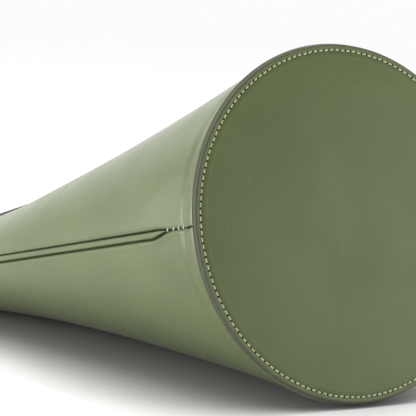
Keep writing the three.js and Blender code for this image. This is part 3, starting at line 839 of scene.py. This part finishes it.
class BAG_OT_inside(Operator):
    """Makes the linings and the leather facings inside the mouth"""

    bl_idname = "bucket_bag.inside"
    bl_label = "Inside"

    def execute(self, context):
        layers = (
            ("lining", 9.5, FACING_LOW - 0.5, -3.9, LINING, "lining", "woven_lining"),
            ("facing", FACING_LOW, BODY_HEIGHT - 0.5, -PANEL - 0.5, FACING, "leather", "calf_leather"),
        )
        for kind, low, high, out, thick, slot, finish_name in layers:
            for name, side in SHEETS:
                z = np.linspace(low, high, 60)[:, None]
                distance = 0.8 + crowded(np.linspace(0, 1, 120), 0.7) * (half_perimeter(z) - 1.6)
                ripple = 0.12 * np.sin(distance / 6.5 + z / 17) * np.sin(z / 11) if kind == "lining" else 0
                outer = wall(z, side * distance, out + 0 * distance)
                inner = wall(z, side * distance, out - thick + ripple + 0 * distance)
                uv = np.stack([side * distance, z + 0 * distance], -1)
                sheet = slab(f"{name}_{kind}_inside", outer, inner, uv)
                dress(sheet, "bag", slot, finish_name, f"{name}_{kind}")
        return {"FINISHED"}


# ------------------------------------------------------------ anchor tabs, posts and strap


def tab_half(z):
    """Half widths of an anchor tab: half the chord of its round lower end, and its radius above."""
    up = np.minimum(z - ANCHOR_LOW, ANCHOR_HALF)
    return np.sqrt(np.maximum(ANCHOR_HALF**2 - (ANCHOR_HALF - up) ** 2, 0.04))


# Radius and distance from the side fold of the domed cap's outline.
CAP = (
    (0.3, 8.6), (6.2, 8.6), (6.2, 9.4), (6.1, 9.7), (5.7, 10.25), (4.9, 10.7), (3.6, 11.0), (0.3, 11.2),
)


class BAG_OT_anchors(Operator):
    """Makes the side anchor tabs, their stitches and the brass posts, washers and caps"""

    bl_idname = "bucket_bag.anchors"
    bl_label = "Anchor tabs and posts"

    def execute(self, context):
        for name, side in SIDES:
            self.tab(name, side)
            self.stitches(name, side)
            spot = (side * half_axis(POST_HEIGHT), 0, POST_HEIGHT)
            dome = turned(f"{name}_domed_cap", CAP, 64, 1, spot, side)
            dress(dome, "bag", "brass", "polished_brass", f"{name}_cap")
            dress_node(f"{name}_post", "polished_brass")
            dress_node(f"{name}_washer", "polished_brass")
        return {"FINISHED"}

    def tab(self, name, side):
        """One tab as a closed sheet that follows the side fold."""
        inner_rows = 1.0 + np.linspace(0, 1, 60) * 45.0
        end_rows = ANCHOR_HIGH - ANCHOR_LOW - ROUND_IN[::-1]
        z = ANCHOR_LOW + np.concatenate([[0.02, 0.12, 0.32, 0.7], inner_rows, end_rows])[:, None]
        u, drop, paint = with_rounds(-ANCHOR_HALF, ANCHOR_HALF, 25)
        across = u / ANCHOR_HALF * tab_half(z)
        start = 0 if side < 0 else half_perimeter(z)
        lowered = np.maximum(drop, bordered(ROUND_DROP, 60)[:, None])
        outer = wall(z, start + across, ANCHOR_TOP - lowered)
        inner = wall(z, start + across, ANCHOR_INSIDE + 0.3 * lowered)
        uv = np.stack([across, z + 0 * across], -1)
        weight = np.maximum(paint, bordered(ROUND_PAINT, 60)[:, None])
        sheet = slab(f"{name}_anchor_leather", outer, inner, uv, weight)
        dress(sheet, "bag", "leather", "calf_leather", f"{name}_anchor_tab")

    def stitches(self, name, side):
        """A row of stitches down one side of the tab, round its end and up the other side."""
        theta = np.linspace(np.pi, 0, 60)
        inset = ANCHOR_HALF - 2.3
        curve = np.stack([inset * np.cos(theta), ANCHOR_LOW + ANCHOR_HALF - inset * np.sin(theta)], -1)
        sides = np.linspace(ANCHOR_HIGH - 2.3, ANCHOR_LOW + ANCHOR_HALF, 40)
        left = np.stack([np.full(40, -inset), sides], -1)
        line = np.concatenate([left, curve[1:-1], left[::-1] * [-1, 1]])

        def place(p, out):
            return wall(p[:, 1], p[:, 0] + (0 if side < 0 else half_perimeter(p[:, 1])), out)

        sewn(f"{name}_anchor_stitches", "bag", line, place, ANCHOR_TOP + 0.1)


def lay_angle():
    """The angle between the bag's axis and the table, from the base mount's axis."""
    axis = frame["record"]["mounts"][0]["axis"]
    return np.arctan2(axis[2], -axis[1])


def strap_line(count):
    """The strap's middle line in its own plane: straight legs from the posts, then half an ellipse.
    Gives x, distance from the posts, the outward normal and the arc length of each step."""
    x0 = half_axis(POST_HEIGHT) + STRAP_OUT
    depth = STRAP_DROP - STRAP_LEG
    leg = np.linspace(-STRAP_END, STRAP_LEG, 40)[:-1]
    angle = np.linspace(0, np.pi, count)
    x = np.concatenate([-x0 + 0 * leg, -x0 * np.cos(angle), x0 + 0 * leg])
    away = np.concatenate([leg, STRAP_LEG + depth * np.sin(angle), leg[::-1]])
    normal = np.stack([-depth * np.cos(angle), x0 * np.sin(angle)], -1)
    side = np.stack([np.full(len(leg), -1.0), np.zeros(len(leg))], -1)
    normal = unit(np.concatenate([side, normal, -side]))
    length = np.concatenate([[0], np.cumsum(np.hypot(np.diff(x), np.diff(away)))])
    return x, away, normal, length


def strap_place(p, out):
    """Maps (arc length, across) and a distance out of the middle line onto the strap."""
    x, away, normal, length = strap_line(200)
    read = [np.interp(p[..., 0], length, v) for v in (x, away, normal[:, 0], normal[:, 1])]
    at_x, at_away = read[0] + out * read[2], read[1] + out * read[3]
    lean = lay_angle() - STRAP_DROOP
    across = p[..., 1]
    y = -at_away * np.sin(lean) - across * np.cos(lean)
    z = POST_HEIGHT + at_away * np.cos(lean) - across * np.sin(lean)
    return np.stack([at_x, y, z], -1)


class BAG_OT_strap(Operator):
    """Makes the carry strap: two leathers sewn together with painted edges"""

    bl_idname = "bucket_bag.strap"
    bl_label = "Strap"

    def execute(self, context):
        total = strap_line(200)[3][-1]
        ends = STRAP_HALF - np.sqrt(STRAP_HALF**2 - np.linspace(STRAP_HALF - 0.2, 0, 16) ** 2)
        rest = np.linspace(STRAP_HALF + 0.8, total - STRAP_HALF - 0.8, 330)
        s = np.concatenate([ends, rest, total - ends[::-1]])
        end = np.minimum(np.minimum(s, total - s), STRAP_HALF)
        half = np.maximum(np.sqrt(STRAP_HALF**2 - (STRAP_HALF - end) ** 2), 0.5)
        u, drop, paint = with_rounds(-STRAP_HALF, STRAP_HALF, 15)
        across = u / STRAP_HALF * half[:, None]
        at = np.stack([s[:, None] + 0 * across, across], -1)
        tip = np.exp(-end / 0.35)[:, None]
        lowered = np.maximum(drop, 0.75 * tip)
        crown = 0.12 * (1 - (u / STRAP_HALF) ** 2)
        outer = strap_place(at, STRAP_THICK / 2 - lowered + crown)
        inner = strap_place(at, -STRAP_THICK / 2 + lowered - crown)
        weight = np.maximum(paint, np.minimum(1, 1.5 * tip))
        strap = slab("carry_strap", outer, inner, at, weight)
        dress(strap, "strap", "leather", "calf_leather", "strap", "strap_lining")
        for name, face in (("outer", 1), ("inner", -1)):
            inset = STRAP_HALF - 2.0
            theta = np.linspace(-np.pi / 2, np.pi / 2, 30)
            start = np.stack([STRAP_HALF - inset * np.cos(theta), -inset * np.sin(theta)], -1)
            run = np.linspace(STRAP_HALF, total - STRAP_HALF, 400)
            lower = np.stack([run, np.full(400, -inset)], -1)
            line = np.concatenate([start, lower, [total, 0] + start * [-1, 1], lower[::-1] * [1, -1]])

            def place(p, out, face=face):
                return strap_place(p, face * out)

            sewn(f"strap_{name}_stitches", "strap", line, place, STRAP_THICK / 2 + 0.14)
        return {"FINISHED"}


# ------------------------------------------------------------ flap


def flap_half(z):
    """Half the flap's width along the wall: a share of a square root and of a straight line of the
    distance from the tip."""
    t = np.clip((z - FLAP_TIP) / (FLAP_TOP - FLAP_TIP), 0, 1)
    return FLAP_HALF * (TONGUE * np.sqrt(t) + (1 - TONGUE) * t)


def flap_front(z, across, depth):
    """The flap on the front panel at a depth from its lower face, lifted over the snap by a Gaussian
    with a flat middle."""
    far = np.sqrt((across**2 + (z - SNAP_HEIGHT) ** 2) / SNAP_SPREAD**2)
    lift = FLAP_CLEAR + TIP_LIFT * bell(np.maximum(0, far - 0.5))
    return wall(z, across - half_perimeter(z) / 2, lift + depth)


def flap_root(z, across, depth):
    """The flap's root on the back facing."""
    return wall(z, half_perimeter(z) / 2 - across, ROOT_OUT - FLAP_THICK + depth)


def flap_over(turn, across, depth):
    """Over the mouth: a blend from the front point to the back point by half a cosine, raised by a
    sine."""
    share = ((1 - np.cos(turn)) / 2)[..., None]
    rise = (BODY_HEIGHT - FLAP_TOP + FLAP_RISE + depth) * np.sin(turn)
    top = FLAP_TOP + 0 * across
    point = flap_front(top, across, depth) * (1 - share) + flap_root(top + 4, across, depth) * share
    return point + np.stack([0 * rise, 0 * rise, rise], -1)


class BAG_OT_flap(Operator):
    """Makes the flap in one sheet from its root inside the mouth, over the mouth to its tip, and its
    stitches, and dresses the snap"""

    bl_idname = "bucket_bag.flap"
    bl_label = "Flap and snap"

    def execute(self, context):
        t = np.concatenate([np.linspace(0.012, 0.4, 46) ** 2, np.linspace(0.17, 1, 70)])
        z = (FLAP_TIP + t * (FLAP_TOP - FLAP_TIP))[:, None]
        turns = np.linspace(0, np.pi, 40)[1:, None]
        low = np.linspace(FLAP_TOP + 4, ROOT_LOW, 20)[1:, None]
        u, drop, paint = with_rounds(-FLAP_HALF, FLAP_HALF, 71)
        share = u / FLAP_HALF
        # the rounded rows stay at a true distance from the edge however narrow the flap is
        edge = ROUND_IN[-1] + EDGE_STEP
        near = np.minimum(FLAP_HALF - np.abs(u), edge)
        half = flap_half(z)
        spread = np.where(near >= edge, np.abs(share) / (1 - edge / FLAP_HALF), 1)
        on_front = np.sign(share) * (half - np.minimum(near, half * near / 1.4)) * spread
        on_front = np.clip(on_front, -half, half)
        on_fold = share * (FLAP_HALF + (ROOT_HALF - FLAP_HALF) * smooth((turns / np.pi - 0.6) / 0.4))
        on_root = share * ROOT_HALF + 0 * low
        tip = np.exp(-(t * (FLAP_TOP - FLAP_TIP)) / 0.25)[:, None]
        lowered = np.maximum(drop, 0.7 * tip)
        sheets = []
        for depth, sign in ((FLAP_THICK, -1), (0.0, 1)):
            front = flap_front(z + 0 * on_front, on_front, depth + sign * lowered)
            over = flap_over(turns + 0 * on_fold, on_fold, depth + sign * drop + 0 * on_fold)
            root = flap_root(low + 0 * on_root, on_root, depth + sign * drop + 0 * on_root)
            sheets.append(np.concatenate([front, over, root]))
        along = np.concatenate([z[:, 0], FLAP_TOP + turns[:, 0] * 12, 350 - low[:, 0] + 270])[:, None]
        across = np.concatenate([on_front, on_fold, on_root])
        uv = np.stack([across, along + 0 * across], -1)
        weight = np.broadcast_to(paint, across.shape).copy()
        weight[: len(t)] = np.maximum(weight[: len(t)], np.minimum(1, 1.5 * tip))
        flap = slab("front_flap", sheets[0], sheets[1], uv, weight)
        flap.data.materials.append(finish("calf_leather"))
        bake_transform(flap)
        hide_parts("flap", "flap_lining", "flap_root")

        edge_t = np.linspace(0, 1, 700) ** 2
        edge_z = FLAP_TIP + edge_t * (FLAP_TOP - FLAP_TIP)
        right = np.stack([flap_half(edge_z), edge_z], -1)
        tangent = unit(np.gradient(right, axis=0))
        inside = right + 3.4 * np.stack([-tangent[:, 1], tangent[:, 0]], -1)
        inside = inside[(inside[:, 0] > 0) & (inside[:, 1] < FLAP_TOP - 1)]
        line = np.concatenate([inside[::-1], inside * [-1, 1]])

        def place(p, out):
            return flap_front(p[:, 1], p[:, 0], out)

        sewn("flap_stitches", "flap", line, place, FLAP_THICK + 0.1)
        for node in ("snap_socket", "snap_stud", "snap_washer"):
            dress_node(node, "polished_brass")
        return {"FINISHED"}


# ------------------------------------------------------------ stage


TABLE_REACH = 40.0
# Name, place and target in metres, size in metres, and power as a share of the key light's.
LIGHTS = (
    ("key", (-0.5, 1.05, 1.15), (0, 0.0, 0.08), 1.0, 1.0),
    ("fill", (-1.2, 0.5, 0.3), (-0.05, 0.02, 0.05), 0.7, 1.2),
    ("top", (0.35, 0.35, 1.5), (0.0, 0.0, 0.0), 1.2, 3.0),
    ("card", (0.26, -0.46, 0.15), (0.06, -0.19, 0.07), 0.25, 0.18),
    ("low_card", (-0.75, -0.12, 0.1), (-0.05, 0.0, 0.05), 0.35, 1.1),
)
CAMERA_PLACE = (-0.5085, -0.8848, 0.2016)
CAMERA_RIGHT, CAMERA_DOWN = (0.8552, -0.5151, 0.0584), (-0.0169, -0.1405, -0.9900)


class BAG_OT_stage(Operator):
    """Makes the white table, the soft lights, the white surround and the camera"""

    bl_idname = "bucket_bag.stage"
    bl_label = "Table, light and camera"

    def execute(self, context):
        looks = context.scene.bag_looks
        self.table(context.scene)
        self.surround(context.scene, looks.surround)
        for name, place, target, size, share in LIGHTS:
            light = bpy.data.lights.new(name, "AREA")
            light.size, light.energy = size, looks.key_power * share
            lamp = bpy.data.objects.new(name, light)
            back = unit(np.array(place) - np.array(target))
            right = unit(np.cross([0, 0, 1.0], back))
            lamp.matrix_world = posed(right, np.cross(back, right), back, place)
            context.scene.collection.objects.link(lamp)
        self.camera(context.scene)
        context.scene.view_settings.view_transform = "Standard"
        return {"FINISHED"}

    def table(self, scene):
        """A square sheet on the table plane."""
        r = TABLE_REACH
        mesh = bpy.data.meshes.new("table")
        mesh.from_pydata([(-r, -r, 0), (r, -r, 0), (r, r, 0), (-r, r, 0)], [], [(0, 1, 2, 3)])
        table = bpy.data.objects.new("table", mesh)
        scene.collection.objects.link(table)
        mesh.materials.append(finish("white_table"))

    def surround(self, scene, strength):
        """A white world that dims towards the base's side."""
        world = bpy.data.worlds.new("white_surround")
        world.use_nodes = True
        nodes, links = world.node_tree.nodes, world.node_tree.links
        background = nodes["Background"]
        background.inputs["Color"].default_value = (1, 1, 1, 1)
        place = nodes.new("ShaderNodeTexCoord")
        split = nodes.new("ShaderNodeSeparateXYZ")
        links.new(place.outputs["Generated"], split.inputs[0])
        ramp = nodes.new("ShaderNodeMapRange")
        ramp.interpolation_type = "SMOOTHSTEP"
        ends = {"From Min": -0.85, "From Max": 0.1, "To Min": 0.1, "To Max": strength}
        for key, value in ends.items():
            ramp.inputs[key].default_value = value
        links.new(split.outputs["Y"], ramp.inputs["Value"])
        links.new(ramp.outputs["Result"], background.inputs["Strength"])
        scene.world = world

    def camera(self, scene):
        """The camera low in front of the base, to its left."""
        lens = bpy.data.cameras.new("camera")
        lens.sensor_width, lens.lens = 36.0, 155.77
        lens.clip_start, lens.clip_end = 0.05, 200
        camera = bpy.data.objects.new("camera", lens)
        right, down = unit(np.array(CAMERA_RIGHT)), np.array(CAMERA_DOWN)
        back = unit(np.cross(right, -down))
        camera.matrix_world = posed(right, np.cross(back, right), back, CAMERA_PLACE)
        scene.collection.objects.link(camera)
        scene.camera = camera


def posed(right, up, back, place):
    """A 4 by 4 matrix whose columns are three directions and a place."""
    columns = np.column_stack([right, up, back, place])
    return Matrix(np.vstack([columns, [0, 0, 0, 1]]).tolist())


class BAG_PT_sidebar(Panel):
    """Sidebar panel with the bag's sizes, colours and steps"""

    bl_idname = "BAG_PT_sidebar"
    bl_label = "Bucket bag"
    bl_space_type = "VIEW_3D"
    bl_region_type = "UI"
    bl_category = "Bucket bag"

    def draw(self, context):
        layout = self.layout
        for group in (context.scene.bag_sizes, context.scene.bag_looks):
            for key in group.__annotations__:
                layout.prop(group, key)
        for step in STEPS:
            layout.operator(step.bl_idname)


STEPS = (
    BAG_OT_stage,
    BAG_OT_base,
    BAG_OT_panels,
    BAG_OT_seams,
    BAG_OT_inside,
    BAG_OT_anchors,
    BAG_OT_strap,
    BAG_OT_flap,
)
CLASSES = (BagSizes, BagLooks, *STEPS, BAG_PT_sidebar)


def register():
    for each in CLASSES:
        bpy.utils.register_class(each)
    bpy.types.Scene.bag_sizes = PointerProperty(type=BagSizes)
    bpy.types.Scene.bag_looks = PointerProperty(type=BagLooks)


def unregister():
    del bpy.types.Scene.bag_sizes
    del bpy.types.Scene.bag_looks
    for each in reversed(CLASSES):
        bpy.utils.unregister_class(each)


def main():
    register()
    bpy.ops.bucket_bag.stage()
    bpy.ops.bucket_bag.base()
    bpy.ops.bucket_bag.panels()
    bpy.ops.bucket_bag.seams()
    bpy.ops.bucket_bag.inside()
    bpy.ops.bucket_bag.anchors()
    bpy.ops.bucket_bag.strap()
    bpy.ops.bucket_bag.flap()


if __name__ == "__main__":
    main()
